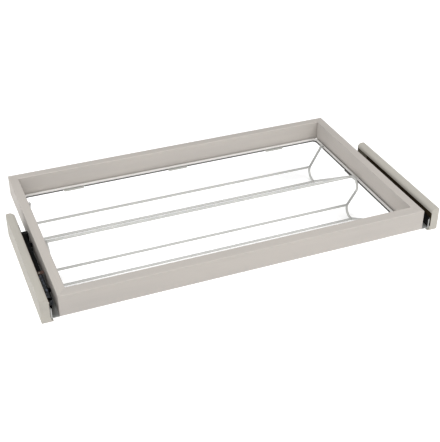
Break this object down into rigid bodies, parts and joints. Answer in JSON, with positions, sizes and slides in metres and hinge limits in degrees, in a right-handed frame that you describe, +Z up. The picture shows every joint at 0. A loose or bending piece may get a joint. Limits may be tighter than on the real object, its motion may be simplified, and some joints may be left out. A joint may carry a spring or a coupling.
{
  "type": "pull-out shoe rack",
  "caption": "Shallow board-framed tray on telescopic side slides, with a hanging sawtooth wire rack that holds rows of shoes; it pulls out of a wardrobe.",
  "frame": {"origin": "centre of the overall box with the tray pushed in", "axes": "+X to the right of a person who faces the rack, +Y to the back of the wardrobe (the tray pulls out along -Y), +Z up"},
  "size_m": [0.967, 0.5354, 0.182],
  "materials": {
    "frame_foil": "greige foil on board, matt, with faint grain streaks",
    "spacer_foil": "greige foil on board, matt, slightly greener than the frame",
    "wire_coating": "light warm grey powder coat, satin",
    "tab_coating": "warm grey powder coat",
    "slide_dark_steel": "blackened steel, thin oil film",
    "slide_zinc": "galvanised",
    "stop_plastic": "black moulded plastic",
    "cage_steel": "bright strip with polished balls",
    "screw_zinc": "zinc plated",
    "biscuit_beech": "raw pressed beech"
  },
  "bodies": {
    "cabinet_sides": {"spacer_left": "spacer_foil", "slide_angle_left": "slide_zinc", "slide_cabinet_member_left": "slide_dark_steel", "slide_end_stop_left": "stop_plastic", "cabinet_screw_front_left": "screw_zinc", "cabinet_screw_rear_left": "screw_zinc", "spacer_right": "spacer_foil", "slide_angle_right": "slide_zinc", "slide_cabinet_member_right": "slide_dark_steel", "slide_end_stop_right": "stop_plastic", "cabinet_screw_front_right": "screw_zinc", "cabinet_screw_rear_right": "screw_zinc"},
    "tray": {"front_rail": "frame_foil", "back_rail": "frame_foil", "left_rail": "frame_foil", "right_rail": "frame_foil", "corner_biscuit_front_left": "biscuit_beech", "corner_biscuit_back_left": "biscuit_beech", "corner_biscuit_front_right": "biscuit_beech", "corner_biscuit_back_right": "biscuit_beech", "ring_rod_front": "wire_coating", "ring_rod_back": "wire_coating", "ring_rod_left": "wire_coating", "ring_rod_right": "wire_coating", "side_wave_wire_left": "wire_coating", "side_wave_wire_right": "wire_coating", "rear_heel_rod": "wire_coating", "rear_bottom_rod": "wire_coating", "middle_crest_rod": "wire_coating", "front_heel_rod": "wire_coating", "front_bottom_rod": "wire_coating", "support_tab_back_left": "tab_coating", "tab_screw_back_left": "screw_zinc", "support_tab_back_centre": "tab_coating", "tab_screw_back_centre": "screw_zinc", "support_tab_back_right": "tab_coating", "tab_screw_back_right": "screw_zinc", "support_tab_front_left": "tab_coating", "tab_screw_front_left": "screw_zinc", "support_tab_front_centre": "tab_coating", "tab_screw_front_centre": "screw_zinc", "support_tab_front_right": "tab_coating", "tab_screw_front_right": "screw_zinc", "support_tab_side_left": "tab_coating", "tab_screw_side_left": "screw_zinc", "support_tab_side_right": "tab_coating", "tab_screw_side_right": "screw_zinc", "drawer_screw_front_left": "screw_zinc", "drawer_screw_rear_left": "screw_zinc", "slide_drawer_member_left": "slide_dark_steel", "drawer_screw_front_right": "screw_zinc", "drawer_screw_rear_right": "screw_zinc", "slide_drawer_member_right": "slide_dark_steel"},
    "middle_left": {"slide_middle_member_left": "slide_dark_steel"},
    "outer_cage_left": {"outer_ball_cage_left": "cage_steel"},
    "inner_cage_left": {"inner_ball_cage_left": "cage_steel"},
    "middle_right": {"slide_middle_member_right": "slide_dark_steel"},
    "outer_cage_right": {"outer_ball_cage_right": "cage_steel"},
    "inner_cage_right": {"inner_ball_cage_right": "cage_steel"}
  },
  "joints": [
    {"name": "tray_slide", "type": "slide", "parent": "cabinet_sides", "child": "tray", "axis": [0, -1, 0], "range_m": [0, 0.26]},
    {"name": "middle_left_slide", "type": "slide", "parent": "cabinet_sides", "child": "middle_left", "axis": [0, -1, 0], "range_m": [0, 0.1301]},
    {"name": "outer_cage_left_slide", "type": "slide", "parent": "cabinet_sides", "child": "outer_cage_left", "axis": [0, -1, 0], "range_m": [0, 0.0651]},
    {"name": "inner_cage_left_slide", "type": "slide", "parent": "cabinet_sides", "child": "inner_cage_left", "axis": [0, -1, 0], "range_m": [0, 0.1951]},
    {"name": "middle_right_slide", "type": "slide", "parent": "cabinet_sides", "child": "middle_right", "axis": [0, -1, 0], "range_m": [0, 0.1301]},
    {"name": "outer_cage_right_slide", "type": "slide", "parent": "cabinet_sides", "child": "outer_cage_right", "axis": [0, -1, 0], "range_m": [0, 0.0651]},
    {"name": "inner_cage_right_slide", "type": "slide", "parent": "cabinet_sides", "child": "inner_cage_right", "axis": [0, -1, 0], "range_m": [0, 0.1951]}
  ],
  "couplings": [
    {"joint": "middle_left_slide", "follows": "tray_slide", "ratio": 0.5},
    {"joint": "outer_cage_left_slide", "follows": "tray_slide", "ratio": 0.25},
    {"joint": "inner_cage_left_slide", "follows": "tray_slide", "ratio": 0.75},
    {"joint": "middle_right_slide", "follows": "tray_slide", "ratio": 0.5},
    {"joint": "outer_cage_right_slide", "follows": "tray_slide", "ratio": 0.25},
    {"joint": "inner_cage_right_slide", "follows": "tray_slide", "ratio": 0.75}
  ]
}
